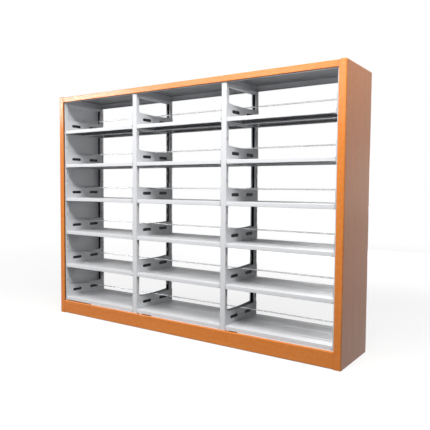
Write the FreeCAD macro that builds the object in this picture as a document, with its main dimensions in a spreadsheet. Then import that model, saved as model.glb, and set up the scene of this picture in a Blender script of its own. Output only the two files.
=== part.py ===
import FreeCAD, Part
import os
import re

import Sketcher

# Double sided library shelving: four open uprights, three bays, six levels of shelves.
# Origin on the floor under the middle, +X along the length, +Y to the back, +Z up. Sizes in mm.

sizes = [
    ("overallHeight", 2000, "floor to the top of the end guards"),
    ("bayPitch", 886, "centre to centre of neighbouring uprights"),
    ("endInset", 41, "centre of an end upright to the outer face of its guard"),
    ("frameDepth", 470, "front face of a front post to back face of a rear post"),
    ("postWidth", 45, "width of a post's outer face"),
    ("postDepth", 35, "depth of a post's side faces"),
    ("postWall", 1.8, "sheet thickness of a post"),
    ("postLip", 12, "width of a post's inner lips"),
    ("slotInset", 17.5, "outer face of a post to the middle of its slots"),
    ("slotWidth", 4, "width of a hook slot"),
    ("slotHeight", 26, "height of a hook slot"),
    ("slotPitch", 77, "distance from slot to slot up a post"),
    ("slotsPerShelf", 4, "slots from one level to the next"),
    ("firstSlot", 142, "lower edge of the lowest slot"),
    ("slotTopMargin", 120, "least height left above the highest slot"),
    ("boardHeight", 30, "height of a board's front and rear edge"),
    ("boardSheet", 1.2, "sheet thickness of a board"),
    ("boardHem", 16, "width of the folded edges under a board"),
    ("boardGap", 2, "gap between the front and the rear board"),
    ("boardClearance", 0.6, "gap between a board's end and its hanger"),
    ("hangerSheet", 1.6, "sheet thickness of a hanger"),
    ("hangerGap", 0.3, "gap between a hanger and the side of a post"),
    ("hangerMidRise", 97, "hanger's height above the board, at mid depth"),
    ("hangerEndRise", 108, "hanger's height above the board, at its ends"),
    ("ledgeWidth", 20, "width of the ledge that carries the boards"),
    ("ledgeInset", 2, "front of the post to the end of the ledge"),
    ("gripOffset", 105, "mid depth to the middle of a grip slot"),
    ("gripLength", 106, "length of a grip slot"),
    ("gripHeight", 22, "height of a grip slot"),
    ("gripRise", 50, "middle of a grip slot above the board"),
    ("hookSheet", 2, "sheet thickness of a hook"),
    ("hookNeck", 12, "height of a hook's neck"),
    ("hookDrop", 10, "how far a hook's nose hangs behind the post wall"),
    ("hookNose", 4, "thickness of a hook's nose"),
    ("hookBehind", 0.4, "gap between a hook's nose and the post wall"),
    ("hookRise", 95, "underside of a board to the seat of its hanger's hooks"),
    ("rodSize", 9, "diameter of a stop rod"),
    ("rodSides", 10, "sides that a stop rod's round section is drawn with"),
    ("rodRise", 95, "middle of a stop rod above the board"),
    ("rodSlack", 0.6, "notch width beyond the rod's diameter"),
    ("rodOverhang", 6, "how far a stop rod reaches past its hanger"),
    ("railWidth", 40, "width of a cross rail"),
    ("railHeight", 25, "height of a cross rail"),
    ("railWall", 1.5, "wall of a cross rail"),
    ("baseRailLevel", 60, "height of the underside of a base rail"),
    ("postDrop", 2, "fascia's lower edge down to the tops of the posts"),
    ("footHeight", 10, "height of a foot under its post"),
    ("footSpigot", 16, "height of the spigot in the post"),
    ("footClearance", 0.3, "gap between the spigot and the post"),
    ("footChamfer", 2, "chamfer of the foot's floor edges"),
    ("floorGap", 3, "gap between the guards and kick plates and the floor"),
    ("guardStrip", 54, "width of a guard's front and rear strips"),
    ("guardProud", 15, "how far a guard stands proud of the posts"),
    ("guardSheet", 1.5, "sheet thickness of a guard"),
    ("guardCorner", 7, "outer radius of a guard's upright edges"),
    ("guardShoulder", 18, "outer radius of a guard's top inner edge"),
    ("trimProud", 12, "how far fascias and kick plates stand proud of the posts"),
    ("trimSheet", 1.2, "sheet thickness of a fascia or kick plate"),
    ("trimGap", 0.5, "gap between a trim's end and the guard"),
    ("fasciaHeight", 46, "height of a fascia"),
    ("fasciaDrop", 4, "top of a guard down to the fascia's upper edge"),
    ("fasciaCorner", 5, "outer radius of a fascia's edges"),
    ("kickGap", 2, "gap between a kick plate and the base board above it"),
    ("kickCorner", 8, "outer radius of a kick plate's edges"),
    ("topSheet", 1.2, "sheet thickness of a top panel"),
    ("topHeight", 47, "height of a top panel's folded edges"),
    ("topHem", 16, "width of a top panel's folded edges"),
    ("topGap", 1, "gap between neighbouring top panels"),
    ("linerSheet", 1, "sheet thickness of an end liner"),
    ("linerTuck", 8, "how far an end liner reaches into a post"),
    ("linerHem", 9, "width of an end liner's folded edges"),
    ("bracketHeight", 40, "height of a guard bracket"),
    ("bracketWidth", 28, "width of a guard bracket"),
    ("bracketSheet", 1.5, "sheet thickness of a guard bracket"),
]

bays = {"left": -1, "centre": 0, "right": 1}      # bay centres, in bay pitches
shelfLevels = 5                                    # levels above the base level
bracketLevels = (0.15, 0.5, 0.85)                  # shares of the posts' height
bendCut = 0.7                                      # flat cut inside a bend, share of its radius
arcInset = 0.293                                   # corner to the middle of its arc, share of its radius

# Places that follow from the sizes, written in the words of the sheet.
places = {
    "halfLength": "bayPitch * 1.5 + endInset",
    "halfFrame": "frameDepth / 2",
    "halfGuard": "halfFrame + guardProud",
    "halfClear": "(bayPitch - postWidth) / 2",
    "hangerFace": "halfClear - hangerGap",
    "fasciaTop": "overallHeight - fasciaDrop",
    "fasciaBottom": "fasciaTop - fasciaHeight",
    "postTop": "fasciaBottom - postDrop",
    "topLevel": "postTop + topHeight",
    "postLength": "postTop - footHeight",
    "lipFace": "halfFrame - postDepth",
    "slotLine": "halfFrame - slotInset",
    "shelfPitch": "slotPitch * slotsPerShelf",
    "baseLevel": "firstSlot + slotPitch - hookRise",
    "kickTop": "baseLevel - kickGap",
    "hookReach": "hangerGap + postWall + hookBehind",
    "trimEnd": "halfLength - guardStrip - trimGap",
    "trimFace": "halfFrame + trimProud",
}

doc = FreeCAD.newDocument("LibraryShelving")
sheet = doc.addObject("Spreadsheet::Sheet", "Sizes")


def fillSheet():
    for row, (alias, value, note) in enumerate(sizes, start=1):
        sheet.set("A%d" % row, note)
        sheet.set("B%d" % row, str(value))
        sheet.setAlias("B%d" % row, alias)
    doc.recompute()


def formula(text):
    """Spell out the named places, then point every size at its cell."""
    while re.search(r"\b(%s)\b" % "|".join(places), text):
        text = re.sub(r"\b(%s)\b" % "|".join(places), lambda m: "(" + places[m[0]] + ")", text)
    return re.sub(r"\b(%s)\b" % "|".join(s[0] for s in sizes), r"Sizes.\1", text)


def value(text):
    return float(sheet.evalExpression(formula(text).replace("Sizes.", "")))


def bind(item, **formulas):
    """Tie properties to formulas; a double underscore stands for a dot."""
    for name, text in formulas.items():
        item.setExpression(name.replace("__", "."), formula(text))


# ---- sketches -------------------------------------------------------------------------

def newBody(name):
    body = doc.addObject("PartDesign::Body", name)
    body.Label = name
    return body


def originItem(body, role):
    return [item for item in body.Origin.OriginFeatures if item.Role == role][0]


def newSketch(body, name, plane, height=None):
    sketch = body.newObject("Sketcher::SketchObject", name)
    sketch.AttachmentSupport = [(originItem(body, plane), "")]
    sketch.MapMode = "FlatFace"
    if height:
        bind(sketch, AttachmentOffset__Base__z=height)
    return sketch


def pin(sketch, line, end, place):
    """Hold one end of a line at a place given by two formulas."""
    for kind, text in zip(("DistanceX", "DistanceY"), place):
        rule = sketch.addConstraint(Sketcher.Constraint(kind, -1, 1, line, end, value(text)))
        sketch.setExpression("Constraints[%d]" % rule, formula(text))


def loop(sketch, points, arcs=None):
    """A closed outline through points; arcs gives the centre of each edge that is an arc."""
    arcs = arcs or {}
    spots = [FreeCAD.Vector(value(x), value(y), 0) for x, y in points]
    count = len(points)
    ends = []
    for edge in range(count):
        start, stop = spots[edge], spots[(edge + 1) % count]
        if edge not in arcs:
            ends.append((sketch.addGeometry(Part.LineSegment(start, stop)), 1, 2))
            continue
        centre, bulge = arcs[edge]
        hub = FreeCAD.Vector(value(centre[0]), value(centre[1]), 0)
        middle = hub + FreeCAD.Vector(bulge[0], bulge[1], 0).normalize() * (start - hub).Length
        arc = sketch.addGeometry(Part.Arc(start, middle, stop))
        forward = (sketch.getPoint(arc, 1) - start).Length < (sketch.getPoint(arc, 2) - start).Length
        ends.append((arc, 1, 2) if forward else (arc, 2, 1))
    for edge in range(count):
        line, _, last = ends[edge]
        following, first, _ = ends[(edge + 1) % count]
        sketch.addConstraint(Sketcher.Constraint("Coincident", line, last, following, first))
    for edge in range(count):
        pin(sketch, ends[edge][0], ends[edge][1], points[edge])
        if edge in arcs:
            centre, bulge = arcs[edge]
            axis = 1 if abs(bulge[1]) > abs(bulge[0]) else 0
            kind = ("DistanceX", "DistanceY")[axis]
            text = centre[axis]
            rule = sketch.addConstraint(
                Sketcher.Constraint(kind, -1, 1, ends[edge][0], 3, value(text)))
            sketch.setExpression("Constraints[%d]" % rule, formula(text))


def step(a, b):
    return (b > a + 1e-6) - (b < a - 1e-6)


def foldedLoop(sketch, corners):
    """An outline with square turns. A corner may have a size as third formula, which rounds
    it, or cuts it straight where "flat" follows the size."""
    spots = [(value(c[0]), value(c[1])) for c in corners]
    points = []
    arcs = {}
    for index, corner in enumerate(corners):
        if len(corner) == 2:
            points.append(corner)
            continue
        x, y, radius = corner[:3]
        here, before = spots[index], spots[index - 1]
        after = spots[(index + 1) % len(corners)]
        inX, inY = step(before[0], here[0]), step(before[1], here[1])
        outX, outY = step(here[0], after[0]), step(here[1], after[1])
        centre = (f"{x} + ({outX - inX}) * ({radius})", f"{y} + ({outY - inY}) * ({radius})")
        if corner[-1] != "flat":
            arcs[len(points)] = (centre, (inX - outX, inY - outY))
        points.append((f"{x} - ({inX}) * ({radius})", f"{y} - ({inY}) * ({radius})"))
        points.append((f"{x} + ({outX}) * ({radius})", f"{y} + ({outY}) * ({radius})"))
    loop(sketch, points, arcs)


def rectangle(sketch, left, right, bottom, top):
    loop(sketch, [(left, bottom), (right, bottom), (right, top), (left, top)])


# ---- features -------------------------------------------------------------------------

def pad(body, sketch, length, both=False, back=False):
    feature = body.newObject("PartDesign::Pad", sketch.Name + "Pad")
    feature.Profile = sketch
    feature.SideType = "Symmetric" if both else "One side"
    feature.Reversed = back
    bind(feature, Length=length)
    doc.recompute()
    return feature


def pocket(body, sketch, length, both=False, back=False):
    """Cut the sketch out of the body, and make sure that it did cut."""
    before = body.Shape.Volume
    feature = body.newObject("PartDesign::Pocket", sketch.Name + "Cut")
    feature.Profile = sketch
    feature.SideType = "Symmetric" if both else "One side"
    feature.Reversed = back
    bind(feature, Length=length)
    doc.recompute()
    if body.Shape.Volume >= before:
        raise RuntimeError(sketch.Name + " cuts nothing")
    return feature


def mirrored(name, source, normal):
    copy = doc.addObject("Part::Mirroring", name)
    copy.Source = source
    copy.Normal = FreeCAD.Vector(*normal)
    return copy


def group(name, links, **formulas):
    """Several solids as one object, placed by formulas."""
    item = doc.addObject("Part::Compound", name)
    item.Label = name
    item.Links = links
    bind(item, **formulas)
    return item


# ---- uprights -------------------------------------------------------------------------

def makePost(name, bothSides):
    """The front post of an upright, open to the back, with slots on one or both sides."""
    body = newBody(name)
    profile = newSketch(body, name + "Profile", "XY_Plane", "footHeight")
    half = "postWidth / 2"
    inner = "postWidth / 2 - postWall"
    mouth = "postWidth / 2 - postLip"
    rear = "-lipFace"
    outline = [
        (f"-({half})", "-halfFrame"), (half, "-halfFrame"), (half, rear), (mouth, rear),
        (mouth, f"{rear} - postWall"), (inner, f"{rear} - postWall"),
        (inner, "-halfFrame + postWall"), (f"-({inner})", "-halfFrame + postWall"),
        (f"-({inner})", f"{rear} - postWall"), (f"-({mouth})", f"{rear} - postWall"),
        (f"-({mouth})", rear), (f"-({half})", rear),
    ]
    loop(profile, outline)
    pad(body, profile, "postLength")
    slot = newSketch(body, name + "Slot", "YZ_Plane")
    rectangle(slot, "-slotLine - slotWidth / 2", "-slotLine + slotWidth / 2",
              "firstSlot", "firstSlot + slotHeight")
    reach = "postWidth + 2" if bothSides else "postWidth / 2 + 1"
    cut = pocket(body, slot, reach, both=bothSides, back=not bothSides)
    column = body.newObject("PartDesign::LinearPattern", name + "Slots")
    column.Originals = [cut]
    column.Direction = (originItem(body, "Z_Axis"), [""])
    last = "floor((postTop - slotTopMargin - slotHeight - firstSlot) / slotPitch)"
    bind(column, Length=f"slotPitch * {last}", Occurrences=f"{last} + 1")
    body.Tip = column
    return body


def makePosts():
    """Front and rear posts of the two middle and of the two end uprights."""
    middle = makePost("middlePost", True)
    end = makePost("endPost", False)
    middlePair = group("middlePair", [middle, mirrored("middleRear", middle, (0, 1, 0))])
    endPair = group("endPair", [end, mirrored("endRear", end, (0, 1, 0))])
    middleLeft = group("middleLeft", [middlePair], Placement__Base__x="-bayPitch / 2")
    endLeft = group("endLeft", [endPair], Placement__Base__x="-bayPitch * 1.5")
    across = (1, 0, 0)
    return [group("middle_posts", [middleLeft, mirrored("middleRight", middleLeft, across)]),
            group("end_posts", [endLeft, mirrored("endRight", endLeft, across)])]


def atUprights(name, item):
    """The item at each of the four uprights, as one object."""
    copies = []
    for number, share in enumerate((-1.5, -0.5, 0.5, 1.5)):
        copies.append(group("%s_%d" % (item.Name, number), [item],
                            Placement__Base__x=f"bayPitch * ({share})"))
    return group(name, copies)


def makeFeet():
    """Plastic caps under the posts, with a spigot that fits inside the channel."""
    body = newBody("foot")
    floor = newSketch(body, "footFloor", "XY_Plane")
    rectangle(floor, "-postWidth / 2", "postWidth / 2", "-halfFrame", "-lipFace")
    base = pad(body, floor, "footHeight")
    chamfer = body.newObject("PartDesign::Chamfer", "footEdge")
    names = ["Edge%d" % n for n, e in enumerate(base.Shape.Edges, start=1) if e.BoundBox.ZMax < 1e-6]
    chamfer.Base = (base, names)
    bind(chamfer, Size="footChamfer")
    doc.recompute()
    spigot = newSketch(body, "footSpigot", "XY_Plane", "footHeight")
    side = "postWidth / 2 - postWall - footClearance"
    rectangle(spigot, f"-({side})", side, "-halfFrame + postWall + footClearance",
              "-lipFace - postWall - footClearance")
    pad(body, spigot, "footSpigot")
    pair = group("footPair", [body, mirrored("footRear", body, (0, 1, 0))])
    return atUprights("post_feet", pair)


def makeRails():
    """Box section cross rails between the lips of the posts, low and high."""
    rails = []
    for name, level in (("baseRail", "baseRailLevel"), ("topRail", "postTop - railHeight")):
        body = newBody(name)
        section = newSketch(body, name + "Section", "XZ_Plane")
        rectangle(section, "-railWidth / 2", "railWidth / 2", level, f"{level} + railHeight")
        rectangle(section, "-railWidth / 2 + railWall", "railWidth / 2 - railWall",
                  f"{level} + railWall", f"{level} + railHeight - railWall")
        pad(body, section, "lipFace * 2", both=True)
        rails.append(body)
    return atUprights("cross_rails", group("railPair", rails))


# ---- end guards -----------------------------------------------------------------------

def guardBlock(name, skin, corner, rounded):
    """A guard's block less a skin on every side, rounded or with flat cuts at its corners."""
    body = newBody(name)
    near, far = f"-halfLength + {skin}", f"-halfLength + guardStrip - {skin}"
    front, rear = f"-halfGuard + {skin}", f"halfGuard - {skin}"
    bend = (corner,) if rounded else (f"({corner}) * {bendCut}", "flat")
    plan = newSketch(body, name + "Plan", "XY_Plane", "floorGap")
    foldedLoop(plan, [(x, y, *bend) for x, y in
                      ((near, front), (far, front), (far, rear), (near, rear))])
    pad(body, plan, f"overallHeight - {skin} - floorGap")
    top, radius = f"overallHeight - {skin}", f"(guardShoulder - {skin})"
    inset = f"{radius} * {arcInset}"
    points = [(far, top), (f"{far} - {radius}", top), (f"{far} - {inset}", f"{top} - {inset}"),
              (far, f"{top} - {radius}")]
    arcs = {}
    if rounded:
        del points[2]
        arcs[1] = ((f"{far} - {radius}", f"{top} - {radius}"), (1, 1))
    shoulder = newSketch(body, name + "Shoulder", "XZ_Plane")
    loop(shoulder, points, arcs)
    pocket(body, shoulder, "halfGuard * 2 + 2", both=True)
    return body


def makeGuards():
    """Folded wood-tone panels round the end uprights, closed at the top."""
    shell = doc.addObject("Part::Cut", "guardShell")
    shell.Base = guardBlock("guardOuter", "0", "guardCorner", rounded=True)
    shell.Tool = guardBlock("guardCavity", "guardSheet", "guardCorner - guardSheet", rounded=False)
    mouth = doc.addObject("Part::Box", "guardMouth")
    bind(mouth, Length="guardStrip", Width="halfFrame * 2", Height="topLevel",
         Placement__Base__x="-halfLength + guardStrip / 2", Placement__Base__y="-halfFrame")
    left = doc.addObject("Part::Cut", "left_end_guard")
    left.Base = shell
    left.Tool = mouth
    doc.recompute()
    return [left, mirrored("right_end_guard", left, (1, 0, 0))]


def makeBrackets():
    """Folded channels that hold each guard to its end posts."""
    body = newBody("bracket")
    plan = newSketch(body, "bracketPlan", "XY_Plane")
    near = "-bayPitch * 1.5 - endInset + guardSheet"
    far = "-bayPitch * 1.5 - postWidth / 2"
    middle = "-halfFrame + postDepth / 2"
    front = f"{middle} - bracketWidth / 2"
    rear = f"{middle} + bracketWidth / 2"
    loop(plan, [(near, front), (far, front), (far, rear), (near, rear),
                (near, f"{rear} - bracketSheet"), (f"{far} - bracketSheet", f"{rear} - bracketSheet"),
                (f"{far} - bracketSheet", f"{front} + bracketSheet"), (near, f"{front} + bracketSheet")])
    pad(body, plan, "bracketHeight")
    pair = group("bracketPair", [body, mirrored("bracketRear", body, (0, 1, 0))])
    rows = []
    for number, share in enumerate(bracketLevels):
        rows.append(group("bracketRow%d" % number, [pair],
                          Placement__Base__z=f"postTop * {share} - bracketHeight / 2"))
    left = group("bracketLeft", rows)
    return group("guard_brackets", [left, mirrored("bracketRight", left, (1, 0, 0))])


def makeLiners():
    """Grey sheets in the end uprights, their edges tucked between the posts' lips."""
    body = newBody("liner")
    plan = newSketch(body, "linerPlan", "XY_Plane", "baseRailLevel + railHeight")
    face = "-bayPitch * 1.5 + linerSheet / 2"
    back = f"{face} - linerSheet"
    hem = f"{face} - linerHem"
    rear = "lipFace + linerTuck"
    front = "-lipFace - linerTuck"
    loop(plan, [(face, front), (face, rear), (hem, rear), (hem, f"{rear} - linerSheet"),
                (back, f"{rear} - linerSheet"), (back, f"{front} + linerSheet"),
                (hem, f"{front} + linerSheet"), (hem, front)])
    pad(body, plan, "postTop - baseRailLevel - railHeight * 2")
    return group("end_liners", [body, mirrored("linerRight", body, (1, 0, 0))])


# ---- trims and tops -------------------------------------------------------------------

def makeTrim(name, bottom, top, corner):
    """A folded strip in front of the posts from guard to guard, and its twin at the back."""
    body = newBody(name + "Front")
    section = newSketch(body, name + "Section", "YZ_Plane")
    bend = f"({corner} - trimSheet) * {bendCut}"
    foldedLoop(section, [
        ("-halfFrame", bottom), ("-trimFace", bottom, corner), ("-trimFace", top, corner),
        ("-halfFrame", top), ("-halfFrame", f"{top} - trimSheet"),
        ("-trimFace + trimSheet", f"{top} - trimSheet", bend, "flat"),
        ("-trimFace + trimSheet", f"{bottom} + trimSheet", bend, "flat"),
        ("-halfFrame", f"{bottom} + trimSheet"),
    ])
    pad(body, section, "trimEnd * 2", both=True)
    return group(name, [body, mirrored(name + "Rear", body, (0, 1, 0))])


def makeTopPanels():
    """One tray over each bay, open downwards, its folded edges on the tops of the posts."""
    body = newBody("topPanel")
    section = newSketch(body, "topSection", "YZ_Plane")
    edge = "halfFrame"
    inner = "halfFrame - topSheet"
    hem = "halfFrame - topHem"
    low, high = "postTop", "topLevel"
    loop(section, [
        (f"-({edge})", low), (f"-({hem})", low), (f"-({hem})", f"{low} + topSheet"),
        (f"-({inner})", f"{low} + topSheet"), (f"-({inner})", f"{high} - topSheet"),
        (inner, f"{high} - topSheet"), (inner, f"{low} + topSheet"),
        (hem, f"{low} + topSheet"), (hem, low), (edge, low), (edge, high), (f"-({edge})", high),
    ])
    pad(body, section, "bayPitch - topGap", both=True)
    return group("top_panels", inBays("topPanel", body))


# ---- shelves --------------------------------------------------------------------------

def inBays(name, item):
    """A copy of the item in each bay."""
    copies = []
    for bay, share in bays.items():
        copies.append(group("%sIn%s" % (name, bay.title()), [item],
                            Placement__Base__x=f"bayPitch * ({share})"))
    return copies


def makeBoards():
    """A front and a rear board: folded trays with hemmed edges, open downwards."""
    body = newBody("board")
    section = newSketch(body, "boardSection", "YZ_Plane")
    front, rear = "-halfFrame", "-boardGap / 2"
    wall = "boardSheet"
    loop(section, [
        (front, "0"), (f"{front} + boardHem", "0"), (f"{front} + boardHem", wall),
        (f"{front} + {wall}", wall), (f"{front} + {wall}", f"boardHeight - {wall}"),
        (f"{rear} - {wall}", f"boardHeight - {wall}"), (f"{rear} - {wall}", wall),
        (f"{rear} - boardHem", wall), (f"{rear} - boardHem", "0"), (rear, "0"),
        (rear, "boardHeight"), (front, "boardHeight"),
    ])
    pad(body, section, "(hangerFace - hangerSheet - boardClearance) * 2", both=True)
    return group("boardPair", [body, mirrored("boardRear", body, (0, 1, 0))])


def makeHangers():
    """Plates over the side faces of the posts, with a ledge, grip slots, a notch and hooks."""
    body = newBody("hanger")
    plate = newSketch(body, "hangerPlate", "YZ_Plane")
    endTop = "boardHeight + hangerEndRise"
    midTop = "boardHeight + hangerMidRise"
    quarterTop = f"{midTop} + (hangerEndRise - hangerMidRise) / 4"
    low = "-hangerSheet"
    loop(plate, [("-halfFrame", low), ("halfFrame", low), ("halfFrame", endTop),
                 ("halfFrame / 2", quarterTop), ("0", midTop), ("-halfFrame / 2", quarterTop),
                 ("-halfFrame", endTop)])
    pad(body, plate, "hangerSheet")
    ledge = newSketch(body, "hangerLedge", "YZ_Plane")
    rectangle(ledge, "-halfFrame + ledgeInset", "halfFrame - ledgeInset", low, "0")
    pad(body, ledge, "hangerSheet + ledgeWidth")
    openings = newSketch(body, "hangerOpenings", "YZ_Plane")
    gripLow = "boardHeight + gripRise - gripHeight / 2"
    for side in ("-", ""):
        rectangle(openings, f"{side}gripOffset - gripLength / 2", f"{side}gripOffset + gripLength / 2",
                  gripLow, f"{gripLow} + gripHeight")
    notch = "(rodSize + rodSlack) / 2"
    rectangle(openings, f"-({notch})", notch, "boardHeight + rodRise - rodSize / 2", f"{endTop} + 1")
    pocket(body, openings, "hangerSheet", back=True)
    hooks = newSketch(body, "hangerHooks", "XZ_Plane", "slotLine - hookSheet / 2")
    nose, drop, crown = "-hookReach - hookNose", "hookRise - hookDrop", "hookRise + hookNeck"
    loop(hooks, [("0", "hookRise"), ("0", crown), (nose, crown), (nose, drop),
                 ("-hookReach", drop), ("-hookReach", "hookRise")])
    one = pad(body, hooks, "hookSheet")
    both = body.newObject("PartDesign::Mirrored", "hangerBothEnds")
    both.Originals = [one]
    both.MirrorPlane = (originItem(body, "XZ_Plane"), [""])
    body.Tip = both
    bind(body, Placement__Base__x="-hangerFace")
    doc.recompute()
    return group("hangerPair", [body, mirrored("hangerRight", body, (1, 0, 0))])


def makeRod():
    """A round bar in the notches of a pair of hangers."""
    rod = doc.addObject("Part::Prism", "rod")
    bind(rod, Polygon="rodSides", Circumradius="rodSize / 2",
         Height="(hangerFace + rodOverhang) * 2",
         Placement__Base__x="-hangerFace - rodOverhang",
         Placement__Base__z="boardHeight + rodRise")
    rod.Placement.Rotation = FreeCAD.Rotation(FreeCAD.Vector(0, 1, 0), 90)
    return rod


def makeShelves():
    """Boards, hangers and rod of every bay and level; the base level is one set of nodes."""
    pieces = {"boards": makeBoards(), "hangers": makeHangers(), "stop_rod": makeRod()}
    nodes = []
    for piece, master in pieces.items():
        name = "base_" + (piece + "s" if piece == "stop_rod" else piece)
        nodes.append(group(name, inBays(master.Name, master), Placement__Base__z="baseLevel"))
        for bay, share in bays.items():
            for level in range(1, shelfLevels + 1):
                nodes.append(group(f"{bay}_shelf_{level}_{piece}", [master],
                                   Placement__Base__x=f"bayPitch * ({share})",
                                   Placement__Base__z=f"baseLevel + shelfPitch * {level}"))
    return nodes


# ---- whole ----------------------------------------------------------------------------

def checkDocument(nodes):
    for item in doc.Objects:
        if "Invalid" in item.State or "Error" in item.State:
            raise RuntimeError("%s failed: %s" % (item.Name, item.State))
    for item in nodes:
        shape = item.Shape
        if shape.isNull() or not shape.isValid() or not shape.Solids:
            raise RuntimeError(item.Name + " has no valid solid")


def writeParts(nodes):
    os.makedirs("parts", exist_ok=True)
    for item in nodes:
        item.Shape.exportStep("parts/%s.step" % item.Label)
        print("%-26s %2d solids %10.1f cm3" % (item.Label, len(item.Shape.Solids), item.Shape.Volume / 1000))


def main():
    fillSheet()
    nodes = makePosts() + [makeRails(), makeFeet()]
    nodes += makeGuards() + [makeBrackets(), makeLiners()]
    nodes += [makeTrim("fascias", "fasciaBottom", "fasciaTop", "fasciaCorner"),
              makeTrim("kick_plates", "floorGap", "kickTop", "kickCorner"),
              makeTopPanels()]
    nodes += makeShelves()
    doc.recompute()
    checkDocument(nodes)
    writeParts(nodes)
    print(len(nodes), "nodes")


main()
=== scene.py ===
import math

import bmesh
import bpy
from mathutils import Matrix, Vector
from mathutils.geometry import delaunay_2d_cdt


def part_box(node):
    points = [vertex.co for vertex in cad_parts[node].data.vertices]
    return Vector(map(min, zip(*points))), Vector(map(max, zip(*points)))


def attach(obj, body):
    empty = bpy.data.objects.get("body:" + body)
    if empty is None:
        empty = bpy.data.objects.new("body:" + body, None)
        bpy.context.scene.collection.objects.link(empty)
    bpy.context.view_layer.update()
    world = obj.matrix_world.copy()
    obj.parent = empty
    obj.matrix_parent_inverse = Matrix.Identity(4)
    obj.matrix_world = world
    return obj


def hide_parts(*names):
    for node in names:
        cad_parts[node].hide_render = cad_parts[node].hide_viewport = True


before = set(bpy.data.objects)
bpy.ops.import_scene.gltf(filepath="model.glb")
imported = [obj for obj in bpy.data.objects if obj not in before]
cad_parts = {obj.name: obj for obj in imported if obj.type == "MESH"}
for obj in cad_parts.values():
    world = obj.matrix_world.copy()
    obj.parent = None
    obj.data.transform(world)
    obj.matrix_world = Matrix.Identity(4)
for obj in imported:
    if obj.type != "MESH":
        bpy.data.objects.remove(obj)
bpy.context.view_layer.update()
print("frame loaded:", len(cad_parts), "nodes")

# Metres everywhere. The floor is z = 0, x runs along the shelving and y to its rear side.


def addObject(name, data):
    thing = bpy.data.objects.new(name, data)
    bpy.context.collection.objects.link(thing)
    return thing


cameraValues = {
    "place": (2.535, -3.404, 1.182),
    "turn": -34.331,        # degrees from +Y, negative to the left
    "tilt": -3.058,         # degrees above the horizon
    "roll": 0.430,
    "lens": 43.14, "sensor": 36,        # mm
}


def makeCamera(values):
    turn, tilt, roll = (math.radians(values[key]) for key in ("turn", "tilt", "roll"))
    ahead = Vector((math.sin(turn) * math.cos(tilt), math.cos(turn) * math.cos(tilt), math.sin(tilt)))
    side = Vector((math.cos(turn), -math.sin(turn), 0))
    up = side.cross(ahead)
    axes = (side * math.cos(roll) + up * math.sin(roll), up * math.cos(roll) - side * math.sin(roll), -ahead)
    data = bpy.data.cameras.new("camera")
    data.lens, data.sensor_width = values["lens"], values["sensor"]
    camera = addObject("camera", data)
    camera.matrix_world = Matrix.Translation(values["place"]) @ Matrix(axes).transposed().to_4x4()
    bpy.context.scene.camera = camera


makeCamera(cameraValues)
print("camera placed")


def newGroup(name, kind, inputs, outputs):
    # Inputs are (label, socket, value) and outputs (label, socket).
    group = bpy.data.node_groups.new(name, kind)
    for label, socketKind, value in inputs:
        socket = group.interface.new_socket(label, in_out="INPUT", socket_type="NodeSocket" + socketKind)
        if value is not None:
            socket.default_value = value
    for label, socketKind in outputs:
        group.interface.new_socket(label, in_out="OUTPUT", socket_type="NodeSocket" + socketKind)
    return group, group.nodes.new("NodeGroupInput").outputs


def shaderGroup(name, outputs, **inputs):
    # A group that takes a vector and some numbers and gives numbers.
    return newGroup(name, "ShaderNodeTree", [("Vector", "Vector", None)] +
                    [(label, "Float", value) for label, value in inputs.items()],
                    [(label, "Float") for label in outputs])


def put(tree, kind, values=None, **settings):
    # A node with its settings, and its inputs given as numbers, colours or other nodes' sockets.
    node = tree.nodes.new(kind)
    for key, value in settings.items():
        setattr(node, key, value)
    for key, value in (values or {}).items():
        if isinstance(value, bpy.types.NodeSocket):
            tree.links.new(value, node.inputs[key])
        else:
            node.inputs[key].default_value = value
    return node


def maths(tree, operation, first, *others, clamp=False):
    for other in others:
        values = {0: first, 1: other}
        first = put(tree, "ShaderNodeMath", values, operation=operation, use_clamp=clamp).outputs[0]
    return first


def spread(tree, value, low, high, toLow=0.0, toHigh=1.0):
    return put(tree, "ShaderNodeMapRange", {"Value": value, "From Min": low, "From Max": high,
                                            "To Min": toLow, "To Max": toHigh}).outputs["Result"]


def noise(tree, vector, scale, detail=2.0, roughness=0.5, distortion=0.0):
    return put(tree, "ShaderNodeTexNoise", {"Vector": vector, "Scale": scale, "Detail": detail,
                                            "Roughness": roughness, "Distortion": distortion}).outputs[0]


def attribute(tree, word):
    return put(tree, "ShaderNodeAttribute", attribute_name=word).outputs["Fac"]


def makePeelGroup():
    # The fine orange peel of a baked powder coat, and its slow waviness.
    tree, given = shaderGroup("powderPeel", ("Height", "Cloud"), Scale=620.0, Waviness=0.5)
    place, peelShare = given["Vector"], 0.25
    peel = maths(tree, "MULTIPLY", noise(tree, place, given["Scale"], roughness=0.55), peelShare)
    slow = maths(tree, "MULTIPLY", noise(tree, place, 9.0, detail=1.0), given["Waviness"])
    cloud = noise(tree, place, 3.2, detail=4.0, roughness=0.6)
    put(tree, "NodeGroupOutput", {"Height": maths(tree, "ADD", peel, slow),
                                  "Cloud": spread(tree, cloud, 0.3, 0.7)})
    return tree


def makeWearGroup():
    # Where hands and books rub a sheet's folds: the "fold" attribute is 1 along a bend.
    tree, given = shaderGroup("foldWear", ("Mask",), Scale=45.0, Amount=0.5)
    patches = noise(tree, given["Vector"], given["Scale"], detail=5.0, roughness=0.65)
    mask = maths(tree, "MULTIPLY", attribute(tree, "fold"), spread(tree, patches, 0.42, 0.72), given["Amount"],
                 clamp=True)
    put(tree, "NodeGroupOutput", {"Mask": mask})
    return tree


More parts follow.
